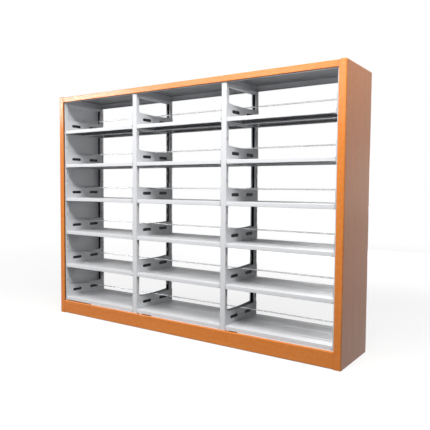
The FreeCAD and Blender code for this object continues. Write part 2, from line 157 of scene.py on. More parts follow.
def makeDustGroup():
    # A little dust on what faces up, thicker in soft patches.
    tree, given = shaderGroup("restingDust", ("Mask",), Scale=14.0, Amount=0.3)
    normal = put(tree, "ShaderNodeNewGeometry").outputs["True Normal"]
    level = spread(tree, put(tree, "ShaderNodeSeparateXYZ", {"Vector": normal}).outputs["Z"], 0.75, 1.0)
    patches = noise(tree, given["Vector"], given["Scale"], detail=6.0, roughness=0.7)
    mask = maths(tree, "MULTIPLY", level, spread(tree, patches, 0.35, 0.8), given["Amount"])
    put(tree, "NodeGroupOutput", {"Mask": mask})
    return tree


def makeGrainGroup():
    # Printed wood figure: long streaks along the sheet, slow colour drift, and fine pores.
    tree, given = shaderGroup("woodFigure", ("Figure", "Pores"), Stretch=0.045, Strength=0.5)
    squeeze = put(tree, "ShaderNodeCombineXYZ", {"X": 1.0, "Y": 1.0, "Z": given["Stretch"]}).outputs[0]
    drawn = put(tree, "ShaderNodeVectorMath", {0: given["Vector"], 1: squeeze}, operation="MULTIPLY").outputs[0]
    streaks, streakShare = noise(tree, drawn, 70.0, detail=6.0, roughness=0.62, distortion=0.6), 0.6
    both = maths(tree, "ADD", maths(tree, "MULTIPLY", streaks, streakShare),
                 maths(tree, "MULTIPLY", noise(tree, drawn, 11.0), 1 - streakShare))
    put(tree, "NodeGroupOutput", {
        "Figure": maths(tree, "MULTIPLY", spread(tree, both, 0.36, 0.64), given["Strength"]),
        "Pores": spread(tree, noise(tree, drawn, 420.0), 0.55, 0.7)})
    return tree


effects = {"peel": makePeelGroup(), "wear": makeWearGroup(), "dust": makeDustGroup(), "grain": makeGrainGroup()}


def effect(tree, name, values):
    return put(tree, "ShaderNodeGroup", values, node_tree=effects[name]).outputs


# The near-black colour is painted shade for faces that lie in deep shade; its added roughness goes with it.
greyCoatValues = {
    "colour": (0.81, 0.82, 0.84, 1), "cloudColour": (0.77, 0.78, 0.80, 1),
    "rubbedColour": (0.88, 0.885, 0.89, 1), "dustColour": (0.72, 0.71, 0.69, 1),
    "paintedShadeColour": (0.045, 0.045, 0.048, 1), "roughness": (0.46, 0.56), "specular": 0.20,
    "peelDepth": 0.00006, "wear": 0.35, "dust": 0.25,
    "dustDulls": 0.35, "paintedShadeDulls": 0.30,       # added to the roughness
}
shelfCoatValues = {
    **greyCoatValues, "colour": (0.84, 0.85, 0.87, 1), "cloudColour": (0.80, 0.81, 0.84, 1),
    "rubbedColour": (0.90, 0.905, 0.91, 1), "dustColour": (0.74, 0.73, 0.72, 1), "roughness": (0.44, 0.54),
    "peelDepth": 0.00005, "wear": 0.5,
}
# The dark brown on the narrow return flanges is painted shade.
woodCoatValues = {
    "light": (0.88, 0.268, 0.040, 1), "dark": (0.71, 0.180, 0.020, 1), "rubbedColour": (0.93, 0.42, 0.14, 1),
    "returnShadeColour": (0.17, 0.045, 0.009, 1), "figure": 0.55, "roughness": (0.17, 0.25), "specular": 0.25,
    "peelScale": 480.0, "peelDepth": 0.00005, "poreDepth": 0.00004, "wear": 0.30,
}
plasticAndShadeValues = {"colour": (0.012, 0.012, 0.014, 1), "roughness": (0.55, 0.68), "specular": 0.25,
                 "grainScale": 900.0, "grainDepth": 0.00008}
steelValues = {"colour": (0.42, 0.43, 0.45, 1), "roughness": (0.28, 0.45)}
platedValues = {"colour": (0.58, 0.59, 0.61, 1), "roughness": (0.22, 0.34)}


def newMaterial(name):
    material = bpy.data.materials.new(name)
    material.use_nodes = True
    tree = material.node_tree
    tree.nodes.clear()
    return material, tree, put(tree, "ShaderNodeTexCoord").outputs["Object"]


def addSurface(tree, inputs):
    surface = put(tree, "ShaderNodeBsdfPrincipled", inputs)
    put(tree, "ShaderNodeOutputMaterial", {"Surface": surface.outputs[0]})


def bump(tree, height, depth):
    return put(tree, "ShaderNodeBump", {"Height": height, "Strength": 1.0, "Distance": depth}).outputs["Normal"]


def layColours(tree, colour, *layers):
    # Each layer is a mask and the colour that lies over those before it.
    for mask, over in layers:
        values = {"Factor": mask, "A": colour, "B": over}
        colour = put(tree, "ShaderNodeMix", values, data_type="RGBA").outputs["Result"]
    return colour


def makeEnamel(name, values):
    material, tree, place = newMaterial(name)
    peel = effect(tree, "peel", {"Vector": place})
    wear = effect(tree, "wear", {"Vector": place, "Amount": values["wear"]})["Mask"]
    dust = effect(tree, "dust", {"Vector": place, "Amount": values["dust"]})["Mask"]
    # Painted shade: a near-black colour on the strips along the edges that tuck into the posts, and on faces
    # marked for it inside the posts' channels and under boards and trays.
    if "bareFrom" in values:    # the strips along the edges that tuck into the posts
        across = put(tree, "ShaderNodeSeparateXYZ", {"Vector": place}).outputs["Y"]
        thin = maths(tree, "GREATER_THAN", maths(tree, "ABSOLUTE", across, 0.0), values["bareFrom"])
    else:
        thin = attribute(tree, "thin")
    colour = layColours(tree, values["colour"], (peel["Cloud"], values["cloudColour"]),
                        (wear, values["rubbedColour"]), (dust, values["dustColour"]), (thin, values["paintedShadeColour"]))
    gloss = maths(tree, "ADD", spread(tree, peel["Cloud"], 0.0, 1.0, *values["roughness"]),
                  maths(tree, "MULTIPLY", dust, values["dustDulls"]),
                  maths(tree, "MULTIPLY", thin, values["paintedShadeDulls"]))
    addSurface(tree, {"Base Color": colour, "Roughness": gloss, "Specular IOR Level": values["specular"],
                      "Normal": bump(tree, peel["Height"], values["peelDepth"])})
    return material


def makeWoodCoat(name, values, turn):
    # turn is the rotation that lays the figure's long direction along the piece.
    material, tree, place = newMaterial(name)
    along = put(tree, "ShaderNodeMapping", {"Vector": place, "Rotation": turn}).outputs[0]
    grain = effect(tree, "grain", {"Vector": along, "Strength": values["figure"]})
    peel = effect(tree, "peel", {"Vector": place, "Scale": values["peelScale"]})
    wear = effect(tree, "wear", {"Vector": place, "Amount": values["wear"]})["Mask"]
    # The last layer is painted shade: dark brown on the return flanges.
    colour = layColours(tree, values["light"], (grain["Figure"], values["dark"]), (wear, values["rubbedColour"]),
                        (attribute(tree, "return"), values["returnShadeColour"]))
    pores = maths(tree, "MULTIPLY", grain["Pores"], values["poreDepth"] / values["peelDepth"])
    height = maths(tree, "SUBTRACT", peel["Height"], pores)
    addSurface(tree, {"Base Color": colour, "Specular IOR Level": values["specular"],
                      "Roughness": spread(tree, peel["Cloud"], 0.0, 1.0, *values["roughness"]),
                      "Normal": bump(tree, height, values["peelDepth"])})
    return material


def makePlastic(name, values):
    material, tree, place = newMaterial(name)
    grain = put(tree, "ShaderNodeTexVoronoi", {"Vector": place, "Scale": values["grainScale"]})
    cloud = noise(tree, place, 60.0, detail=3.0)
    addSurface(tree, {"Base Color": values["colour"], "Specular IOR Level": values["specular"],
                      "Roughness": spread(tree, cloud, 0.3, 0.7, *values["roughness"]),
                      "Normal": bump(tree, grain.outputs["Distance"], values["grainDepth"])})
    return material


def makeSteel(name, values):
    material, tree, place = newMaterial(name)
    cloud = noise(tree, place, 300.0, detail=4.0)
    addSurface(tree, {"Base Color": values["colour"], "Metallic": 1.0,
                      "Roughness": spread(tree, cloud, 0.3, 0.7, *values["roughness"])})
    return material


greyCoat = makeEnamel("greyCoat", greyCoatValues)
shelfCoat = makeEnamel("shelfCoat", shelfCoatValues)
uprightWood = makeWoodCoat("uprightWoodCoat", woodCoatValues, (0, 0, 0))
longWood = makeWoodCoat("longWoodCoat", woodCoatValues, (0, math.radians(90), 0))
# The same near-black serves the real plastic feet and the painted-shade ovals behind the slots.
footPlastic = makePlastic("footPlastic", plasticAndShadeValues)
screwSteel = makeSteel("screwSteel", steelValues)
platedSteel = makeSteel("platedSteel", platedValues)
print("materials made")

farAway = 50        # a point this far outside a sheet tells its outer side
onPlace = 0.001     # a face this near to a place lies on it


def arc(x, y, radius, start, turn, steps):
    # Points on a circle, from the start angle through a turn, both in degrees.
    angles = [math.radians(start + turn * step / steps) for step in range(steps + 1)]
    return [(x + radius * math.cos(angle), y + radius * math.sin(angle)) for angle in angles]


def circle(x, y, radius, sides):
    return arc(x, y, radius, 0, 360, sides)[:-1]


def bentPath(corners, steps=4):
    # Points (a, b, fold) through corners (a, b) or (a, b, radius): a radius makes an arc of the bend.
    path = []
    for index, corner in enumerate(corners):
        here = Vector(corner[:2])
        if len(corner) == 2:
            path.append((here.x, here.y, 0.0))
            continue
        radius = corner[2]
        inward = (here - Vector(corners[index - 1][:2])).normalized()
        outward = (Vector(corners[(index + 1) % len(corners)][:2]) - here).normalized()
        start, stop = here - inward * radius, here + outward * radius
        centre = start + outward * radius
        for step in range(steps + 1):
            angle = math.pi / 2 * step / steps
            point = centre - outward * radius * math.cos(angle) + inward * radius * math.sin(angle)
            if step == steps:
                point = stop
            path.append((point.x, point.y, 1.0))
    return path


def pathLengths(path):
    # The length along a path up to each of its points.
    lengths = [0.0]
    for (ax, ay, _), (bx, by, _) in zip(path, path[1:]):
        lengths.append(lengths[-1] + math.hypot(bx - ax, by - ay))
    return lengths


def layAlong(axis, s, a, b):
    # The point (a, b) of a section at s along an axis.
    return {"x": (s, a, b), "y": (a, s, b), "z": (a, b, s)}[axis]


def newShape():
    shape = bmesh.new()
    return shape, shape.verts.layers.float.new("fold")


def newPiece(name, shape, *coats):
    mesh = bpy.data.meshes.new(name)
    shape.to_mesh(mesh)
    shape.free()
    for coat in coats:
        mesh.materials.append(coat)
    return addObject(name, mesh)


def reshape(piece, change):
    shape = bmesh.new()
    shape.from_mesh(piece.data)
    change(shape)
    shape.to_mesh(piece.data)
    shape.free()
    return piece


def alignFaces(shape):
    bmesh.ops.recalc_face_normals(shape, faces=shape.faces[:])


def closedPiece(name, shells, coat):
    # Each shell is a row of loops with as many points each, skinned and closed at both ends.
    shape, _ = newShape()
    for loops in shells:
        rings = [[shape.verts.new(point) for point in loop] for loop in loops]
        for a, b in zip(rings, rings[1:]):
            for k in range(len(a)):
                n = (k + 1) % len(a)
                shape.faces.new((a[k], a[n], b[n], b[k]))
        shape.faces.new(rings[0][::-1])
        shape.faces.new(rings[-1])
    alignFaces(shape)
    return newPiece(name, shape, coat)


def bakeModifiers(piece):
    # The piece's modifiers become a plain mesh.
    bpy.context.view_layer.update()
    graph = bpy.context.evaluated_depsgraph_get()
    mesh = bpy.data.meshes.new_from_object(piece.evaluated_get(graph), preserve_all_data_layers=True,
                                           depsgraph=graph)
    plain = piece.data
    piece.modifiers.clear()
    piece.data = mesh
    bpy.data.meshes.remove(plain)
    mesh.name = piece.name
    return piece


def giveWall(piece, thickness):
    # A sheet gets its thickness behind its outer face.
    solidify = piece.modifiers.new("wall", "SOLIDIFY")
    solidify.thickness = thickness
    solidify.offset = -1
    solidify.use_even_offset = True
    return smoothBends(bakeModifiers(piece))


def smoothBends(piece, angle=32):
    mesh = piece.data
    mesh.polygons.foreach_set("use_smooth", [True] * len(mesh.polygons))
    mesh.set_sharp_from_angle(angle=math.radians(angle))
    weighted = piece.modifiers.new("weighted", "WEIGHTED_NORMAL")
    weighted.keep_sharp = True
    weighted.mode = "FACE_AREA"
    return bakeModifiers(piece)


def sweptSheet(name, path, stations, axis, coat, closed=False):
    # A path drawn out along an axis.
    shape, fold = newShape()
    rows = []
    for a, b, bend in path:
        rows.append([shape.verts.new(layAlong(axis, s, a, b)) for s in stations])
        for vertex in rows[-1]:
            vertex[fold] = bend
    for low, high in list(zip(rows, rows[1:])) + ([(rows[-1], rows[0])] if closed else []):
        for k in range(len(stations) - 1):
            shape.faces.new((low[k], high[k], high[k + 1], low[k + 1]))
    return newPiece(name, shape, coat)


def faceOutwards(piece, towards, isSleeve=False):
    # Turns an open sheet so that its faces look to a point outside it, or a sleeve's away from its
    # middle line, which runs along y.
    def turnOver(shape):
        shape.normal_update()
        score = 0.0
        for face in shape.faces:
            way = Vector(towards) - face.calc_center_median()
            if isSleeve:
                way = Vector((-way.x, 0, -way.z))
            score += face.normal.dot(way) * face.calc_area()
        if score < 0:
            bmesh.ops.reverse_faces(shape, faces=shape.faces[:])
    return reshape(piece, turnOver)


def mergedCopy(name, parts, moves):
    # Several copies of several pieces as one mesh, each copy under a 4x4 matrix.
    shape = bmesh.new()
    for move in moves:
        for part in parts:
            mesh = part.data.copy()
            mesh.transform(move)
            if move.determinant() < 0:
                mesh.flip_normals()
            shape.from_mesh(mesh)
            bpy.data.meshes.remove(mesh)
    return newPiece(name, shape, *parts[0].data.materials)


def discard(*pieces):
    for piece in pieces:
        bpy.data.objects.remove(piece)


def insideLoop(point, loop):
    inside = False
    for (ax, ay), (bx, by) in zip(loop, loop[1:] + loop[:1]):
        if (ay > point[1]) != (by > point[1]) and point[0] < (bx - ax) * (point[1] - ay) / (by - ay) + ax:
            inside = not inside
    return inside


def blankFaces(outline, holes, rings, creases):
    # Triangles of a flat blank: its outline, its holes, rings round the holes and the bend lines.
    points, edges = [], []
    for loop in (outline, *holes, *rings):
        first = len(points)
        points += [Vector(p) for p in loop]
        edges += [(first + k, first + (k + 1) % len(loop)) for k in range(len(loop))]
    lowest, highest = min(p[1] for p in outline), max(p[1] for p in outline)
    for crease in creases:
        edges.append((len(points), len(points) + 1))
        points += [Vector((crease, lowest)), Vector((crease, highest))]
    spots, _, faces, *_ = delaunay_2d_cdt(points, edges, [], 0, 1e-7)
    kept = []
    for face in faces:
        middle = sum((spots[k] for k in face), Vector((0, 0))) / len(face)
        if insideLoop(middle, outline) and not any(insideLoop(middle, hole) for hole in holes):
            kept.append(face)
    return spots, kept


def formedSheet(name, path, outline, holes, axis, coat, rings=(), lift=None):
    # Cuts a blank (w, v), bends w along the path and lays v along the axis.
    # lift(w, v) raises the sheet along its normal, as a pressed rim does.
    lengths = pathLengths(path)
    spots, faces = blankFaces(outline, holes, rings, lengths[1:-1])
    shape, fold = newShape()
    made = {}
    for index in sorted({k for face in faces for k in face}):
        w, v = spots[index]
        part = max(k for k in range(len(lengths) - 1) if lengths[k] <= w + 1e-7)
        (ax, ay, bend), (bx, by, nextBend) = path[part], path[part + 1]
        share = (w - lengths[part]) / (lengths[part + 1] - lengths[part])
        normal = Vector((by - ay, ax - bx)).normalized() * (lift(w, v) if lift else 0.0)
        a, b = ax + (bx - ax) * share + normal.x, ay + (by - ay) * share + normal.y
        made[index] = shape.verts.new(layAlong(axis, v, a, b))
        made[index][fold] = bend + (nextBend - bend) * share
    for face in faces:
        shape.faces.new([made[k] for k in face])
    return newPiece(name, shape, coat)


def longHole(w, v, length, width, alongV, sides=5):
    # The outline of a slot with round ends.
    half = (length - width) / 2
    loop = arc(half, 0, width / 2, -90, 180, sides) + arc(-half, 0, width / 2, 90, 180, sides)
    return [(w + y, v + x) if alongV else (w + x, v + y) for x, y in loop]


def shapeGroup(name, inputs):
    return newGroup(name, "GeometryNodeTree", [("Geometry", "Geometry", None), *inputs,
                                               ("Coat", "Material", None)], [("Geometry", "Geometry")])


def realCopies(tree, values):
    copies = put(tree, "GeometryNodeInstanceOnPoints", values).outputs[0]
    return put(tree, "GeometryNodeRealizeInstances", {"Geometry": copies}).outputs[0]


def giveCoated(tree, geometry, coat):
    coated = put(tree, "GeometryNodeSetMaterial", {"Geometry": geometry, "Material": coat}).outputs[0]
    put(tree, "NodeGroupOutput", {"Geometry": coated})
    return tree


def makeStackTree():
    # Stacks a tile upwards and welds the seams: one slotted column from one punched tile.
    tree, given = shapeGroup("slotColumn", [("Count", "Int", 10), ("Pitch", "Float", 0.077)])
    step = put(tree, "ShaderNodeCombineXYZ", {"Z": given["Pitch"]}).outputs[0]
    line = put(tree, "GeometryNodeMeshLine", {"Count": given["Count"], "Offset": step}).outputs[0]
    copies = realCopies(tree, {"Points": line, "Instance": given["Geometry"]})
    weld = put(tree, "GeometryNodeMergeByDistance", {"Geometry": copies, "Distance": 0.00002}).outputs[0]
    return giveCoated(tree, weld, given["Coat"])


def makeScrewTree():
    # A screw head on every point, its axis along the point's "aim".
    tree, given = shapeGroup("screwField", [("Head", "Object", None), ("Size", "Float", 1.0)])
    head = put(tree, "GeometryNodeObjectInfo", {"Object": given["Head"]}).outputs["Geometry"]
    aim = put(tree, "GeometryNodeInputNamedAttribute", {"Name": "aim"}, data_type="FLOAT_VECTOR")
    turn = put(tree, "FunctionNodeAlignRotationToVector", {"Vector": aim.outputs["Attribute"]}, axis="Z")
    copies = realCopies(tree, {"Points": given["Geometry"], "Instance": head, "Rotation": turn.outputs[0],
                               "Scale": given["Size"]})
    return giveCoated(tree, copies, given["Coat"])


def runNodes(piece, tree, values):
    modifier = piece.modifiers.new(tree.name, "NODES")
    modifier.node_group = tree
    names = {item.name: item.identifier for item in tree.interface.items_tree
             if item.item_type == "SOCKET" and item.in_out == "INPUT"}
    for key, value in values.items():
        modifier[names[key]] = value
    return bakeModifiers(piece)


stackTree = makeStackTree()
screwTree = makeScrewTree()

postValues = {
    "width": 0.045, "depth": 0.035, "lip": 0.012, "wall": 0.0018, "bend": 0.0035,
    "slotWidth": 0.004, "slotHeight": 0.026, "slotCorner": 0.0012, "slotInset": 0.0175,
    "slotPitch": 0.077, "firstSlot": 0.142, "slots": 22, "insideFrom": 0.0002,
}


def makePost(name, values, bothFlanges):
    # The front post of an upright at x = 0: a lipped channel, its slots punched in the flat blank.
    low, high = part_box("middle_posts")
    face, half, bend = low.y, values["width"] / 2, values["bend"]
    back, mouth, line = face + values["depth"], half - values["lip"], face + values["slotInset"]
    path = bentPath([(mouth, back), (half, back, bend), (half, face, bend), (-half, face, bend),
                     (-half, back, bend), (-mouth, back)], steps=3)
    lengths = pathLengths(path)
    wide, tall, cut = values["slotWidth"] / 2, values["slotHeight"] / 2, values["slotCorner"]
    pitch = values["slotPitch"]
    bottom = values["firstSlot"] + tall - pitch / 2
    slot = [(-wide, cut - tall), (cut - wide, -tall), (wide - cut, -tall), (wide, cut - tall),
            (wide, tall - cut), (wide - cut, tall), (cut - wide, tall), (-wide, tall - cut)]
    holes = []
    for k, ((ax, ay, _), (bx, by, _)) in enumerate(zip(path, path[1:])):
        isFlange = abs(ax - bx) < 1e-6 and min(ay, by) < line < max(ay, by)
        if isFlange and (ax > 0 or bothFlanges):
            w = lengths[k] + abs(line - ay)
            holes.append([(w + x, bottom + pitch / 2 + y) for x, y in slot])
    outline = [(0, bottom), (lengths[-1], bottom), (lengths[-1], bottom + pitch), (0, bottom + pitch)]
    tile = formedSheet(name, path, outline, holes, "z", greyCoat)
    column = runNodes(tile, stackTree, {"Count": values["slots"], "Pitch": pitch, "Coat": greyCoat})

    def addEnds(shape):     # plain metal below and above the slots
        for level, end in ((bottom, low.z), (bottom + pitch * values["slots"], high.z)):
            rim = [e for e in shape.edges if e.is_boundary and all(abs(v.co.z - level) < 1e-5 for v in e.verts)]
            grown = bmesh.ops.extrude_edge_only(shape, edges=rim)["geom"]
            for vertex in (g for g in grown if isinstance(g, bmesh.types.BMVert)):
                vertex.co.z = end
        alignFaces(shape)

    return giveWall(faceOutwards(reshape(column, addEnds), (0, -farAway, 1)), values["wall"])


def markFaces(piece, word, isMarked, share=1.0):
    # Marks faces that get painted shade: near-black where deep shade falls inside channels and under sheets, and
    # dark brown on "return", a narrow flange that turns back to the posts.
    marks = piece.data.attributes.new(word, "FLOAT", "FACE")
    marks.data.foreach_set("value", [share if isMarked(face.center, face.normal) else 0.0
                                     for face in piece.data.polygons])


def rideAlong(piece, body, slotName, *nodes):
    # The piece moves with the body, and takes the place of the nodes.
    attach(piece, body)
    if nodes:
        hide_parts(*nodes)
    return piece


mirrorX, mirrorY = Matrix.Diagonal((-1, 1, 1, 1)), Matrix.Diagonal((1, -1, 1, 1))
leftAndRight, frontAndRear = (Matrix.Identity(4), mirrorX), (Matrix.Identity(4), mirrorY)
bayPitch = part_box("right_shelf_1_boards")[0].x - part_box("centre_shelf_1_boards")[0].x
bays = {"left": -bayPitch, "centre": 0.0, "right": bayPitch}


def shift(x=0.0, y=0.0, z=0.0):
    return Matrix.Translation((x, y, z))


middlePost = makePost("middlePost", postValues, True)
endPost = makePost("endPost", postValues, False)
middlePosts = mergedCopy("middlePosts", [middlePost], [
    shift(side * bayPitch / 2) @ flip for side in (-1, 1) for flip in frontAndRear])
endPosts = mergedCopy("endPosts", [endPost], [
    flipX @ shift(-bayPitch * 1.5) @ flip for flipX in leftAndRight for flip in frontAndRear])
discard(middlePost, endPost)
postLine = abs(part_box("middle_posts")[0].y) - postValues["depth"] / 2


def insidePost(centre, normal):
    # The face looks towards the middle of its post.
    across = (math.floor(centre.x / bayPitch) + 0.5) * bayPitch - centre.x
    inward = normal.x * across + normal.y * (math.copysign(postLine, centre.y) - centre.y)
    return inward > postValues["insideFrom"]


# Painted shade: a near-black colour on the faces inside the posts' channels.
for posts, node in ((middlePosts, "middle_posts"), (endPosts, "end_posts")):
    markFaces(posts, "thin", insidePost)
    rideAlong(posts, "frame", "grey_enamel", node)
print("posts made")

railValues = {"width": 0.040, "height": 0.025, "bend": 0.003, "wall": 0.0015, "boltInset": 0.014,
              "boltRow": (-0.010, 0.010), "boltSize": 1.0}
headValues = {
    "radius": 0.0042, "height": 0.0026, "socket": 0.0019, "socketDepth": 0.0014, "sides": 12,
    "dome": ((1.0, 0), (1.0, 0.35), (0.82, 0.8), (0.55, 1.0)),      # shares of the radius and the height
}


def makeScrewHead(values):
    # A domed head with a socket, its foot at the origin and its axis up.
    profile = [(values["radius"] * across, values["height"] * up) for across, up in values["dome"]]
    profile += [(values["socket"], values["height"]), (values["socket"], values["height"] - values["socketDepth"])]
    loops = [[(x, y, z) for x, y in circle(0, 0, reach, values["sides"])] for reach, z in profile]
    return smoothBends(closedPiece("screwHead", [loops], screwSteel))


def makeScrews(name, spots, size, coat):
    # spots are (place, direction) pairs.
    mesh = bpy.data.meshes.new(name)
    mesh.from_pydata([place for place, _ in spots], [], [])
    aims = mesh.attributes.new("aim", "FLOAT_VECTOR", "POINT")
    aims.data.foreach_set("vector", [value for _, aim in spots for value in aim])
    screws = runNodes(addObject(name, mesh), screwTree, {"Head": screwHead, "Size": size, "Coat": coat})
    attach(screws, "frame")


screwHead = makeScrewHead(headValues)


def makeRails(values):
    low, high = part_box("cross_rails")
    half, tall, bend = values["width"] / 2, values["height"], values["bend"]
    rails = []
    for bottom in (low.z, high.z - tall):
        path = bentPath([(-half, bottom, bend), (half, bottom, bend), (half, bottom + tall, bend),
                         (-half, bottom + tall, bend)], steps=3)
        rail = sweptSheet("rail", path, [low.y, 0.0, high.y], "y", greyCoat, closed=True)
        faceOutwards(rail, (0, 0, bottom + tall / 2), isSleeve=True)
        rails.append(giveWall(rail, values["wall"]))
    uprights = [(k - 1.5) * bayPitch for k in range(4)]
    rideAlong(mergedCopy("crossRails", rails, [shift(x) for x in uprights]), "frame", "grey_enamel", "cross_rails")
    discard(*rails)
    makeScrews("railBolts", [((x + aside, end * (high.y - values["boltInset"]), high.z - tall), (0, 0, -1))
                             for x in uprights for end in (-1, 1) for aside in values["boltRow"]],
               values["boltSize"], screwSteel)


makeRails(railValues)
print("cross rails made")

guardValues = {"strip": 0.054, "corner": 0.0068, "cornerSteps": 4, "shoulder": 0.018, "shoulderSteps": 8,
               "wall": 0.0015, "mouthFrom": 0.9, "flattest": 0.995}


def makeGuard(values):
    # The left guard: a folded panel round the end upright, closed at the top, open to the bay.
    low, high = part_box("left_end_guard")
    mouth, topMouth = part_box("end_posts")[0].y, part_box("top_panels")[1].z
    inner, radius = low.x + values["strip"], values["shoulder"]
    shoulder = arc(inner - radius, high.z - radius, radius, 90, -90, values["shoulderSteps"])
    profile = [(low.x, low.z), (low.x, high.z), *shoulder, (inner, low.z)]
    shape, _ = newShape()
    rows = [[shape.verts.new((x, y, z)) for y in (low.y, mouth, -mouth, high.y)] for x, z in profile]
    for a, b in zip(rows, rows[1:]):
        for k in range(3):
            middle = (a[k].co + b[k + 1].co) / 2
            isMouth = k == 1 and middle.x > inner - radius * values["mouthFrom"] and middle.z < topMouth
            if not isMouth:
                shape.faces.new((a[k], a[k + 1], b[k + 1], b[k]))
    shape.faces.new([row[0] for row in rows])
    shape.faces.new([row[-1] for row in reversed(rows)])
    alignFaces(shape)
    piece = faceOutwards(newPiece("leftGuard", shape, uprightWood), (-farAway, 0, 1))
    corners = piece.modifiers.new("corners", "BEVEL")
    corners.width, corners.segments = values["corner"], values["cornerSteps"]
    corners.limit_method, corners.angle_limit = "ANGLE", math.radians(60)
    bakeModifiers(piece)
    folds = piece.data.attributes["fold"].data
    for face in piece.data.polygons:
        if max(abs(c) for c in face.normal) < values["flattest"]:       # part of a bend
            for k in face.vertices:
                folds[k].value = 1.0
    return giveWall(piece, values["wall"])


leftGuard = makeGuard(guardValues)
rightGuard = smoothBends(mergedCopy("rightGuard", [leftGuard], [mirrorX]))
guardInner = abs(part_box("left_end_guard")[1].x)
for guard, node in ((leftGuard, "left_end_guard"), (rightGuard, "right_end_guard")):
    # Painted shade: the inner return flanges get a dark brown colour.
    markFaces(guard, "return",
              lambda centre, normal: abs(normal.x) > 0.9 and abs(abs(centre.x) - guardInner) < onPlace)
    rideAlong(guard, "frame", "wood_tone_enamel", node)
print("end guards made")

trimValues = {"wall": 0.0012, "fasciaBend": 0.005, "kickBend": 0.008, "kickDrop": 0.003, "steps": 6}


def makeTrim(name, node, values, bend, drop):
    # A folded strip in front of the posts, and its twin at the back.
    low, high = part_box(node)
    back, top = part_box("end_posts")[0].y, high.z - drop
    path = bentPath([(back, low.z), (low.y, low.z, bend), (low.y, top, bend), (back, top)], values["steps"])
    strip = sweptSheet(name + "Strip", path, [low.x, low.x / 2, 0, high.x / 2, high.x], "x", longWood)
    giveWall(faceOutwards(strip, (0, -farAway, (low.z + high.z) / 2)), values["wall"])
    piece = smoothBends(mergedCopy(name, [strip], frontAndRear))
    discard(strip)
    # Painted shade: the lower return flanges get a dark brown colour.
    markFaces(piece, "return", lambda centre, normal: normal.z < -0.9 and centre.z < low.z + onPlace)
    rideAlong(piece, "frame", "wood_tone_enamel", node)


makeTrim("fasciaStrips", "fascias", trimValues, trimValues["fasciaBend"], 0.0)
makeTrim("kickStrips", "kick_plates", trimValues, trimValues["kickBend"], trimValues["kickDrop"])
print("fascias and kick plates made")

paintedValues = {"size": 0.85, "fasciaEnd": 0.030, "kickRows": (0.035, 0.087), "guardRows": (0.30, 1.00, 1.70),
                 "guardColumn": 0.027, "sunk": 0.0009}


def paintedScrews(values):
    # Beside each end and over each middle post, on the front and the rear alike.
    fascia, kick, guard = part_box("fascias"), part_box("kick_plates"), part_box("left_end_guard")
    columns = (fascia[0].x + values["fasciaEnd"], -bayPitch / 2)
    rows = [(x, fascia[0].y, (fascia[0].z + fascia[1].z) / 2) for x in columns]
    rows += [(x, kick[0].y, z) for z in values["kickRows"] for x in columns]
    rows += [(guard[0].x + values["guardColumn"], guard[0].y, z) for z in values["guardRows"]]
    return [((side * x, end * (y + values["sunk"]), z), (0, -end, 0)) for x, y, z in rows for side in (1, -1)
            for end in (1, -1)]


makeScrews("trimScrews", paintedScrews(paintedValues), paintedValues["size"], uprightWood)
print("painted screws made")

topValues = {"sheet": 0.0012, "bend": 0.0025, "hem": 0.016, "endFlange": 0.0465, "gap": 0.001,
             "paintedShadeAbove": 0.004, "paintedShadeShare": 0.5}
boardValues = {
    "sheet": 0.0012, "bend": 0.0028, "hem": 0.016, "hemBend": 0.0015, "lip": 0.008, "endFlange": 0.026,
    "gap": 0.002, "rib": 0.036, "ribDepth": 0.014, "ribFoot": 0.010, "ribBend": 0.002, "ribInset": 0.012,
    "paintedShadeAbove": 0.004,
}


def foldedTray(name, alongX, alongY, level, coat):
    # A blank with notched corners, folded down on all sides; each profile is (place, drop, fold).
    shape, fold = newShape()
    grid = {}

    def corner(i, j):
        if (i, j) not in grid:
            x, y = alongX[i], alongY[j]
            grid[i, j] = shape.verts.new((x[0], y[0], level + x[1] + y[1]))
            grid[i, j][fold] = max(x[2], y[2])
        return grid[i, j]

    def isFlat(profile, k):
        return abs(profile[k][1]) < 1e-9 and abs(profile[k + 1][1]) < 1e-9

    for i in range(len(alongX) - 1):
        for j in range(len(alongY) - 1):
            if isFlat(alongX, i) or isFlat(alongY, j):
                shape.faces.new((corner(i, j), corner(i + 1, j), corner(i + 1, j + 1), corner(i, j + 1)))
    return newPiece(name, shape, coat)


def endProfile(half, bend, flange):
    return bentPath([(-half, -flange), (-half, 0, bend), (half, 0, bend), (half, -flange)], steps=3)


def makeTopPanels(values):
    low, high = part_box("top_panels")
    half, drop, bend = (bayPitch - values["gap"]) / 2, low.z - high.z, values["bend"]
    across = bentPath([(low.y + values["hem"], drop), (low.y, drop, bend), (low.y, 0, bend), (high.y, 0, bend),
                       (high.y, drop, bend), (high.y - values["hem"], drop)], steps=3)
    tray = foldedTray("topTray", endProfile(half, bend, values["endFlange"]), across, high.z, greyCoat)
    giveWall(tray, values["sheet"])
    piece = smoothBends(mergedCopy("topTrays", [tray], [shift(x) for x in bays.values()]))
    discard(tray)
    # Painted shade, at half strength, on the underside of the tray.
    markFaces(piece, "thin", lambda centre, normal: normal.z < -0.5 and centre.z > low.z + values["paintedShadeAbove"],
              values["paintedShadeShare"])
    rideAlong(piece, "frame", "grey_enamel", "top_panels")


makeTopPanels(topValues)


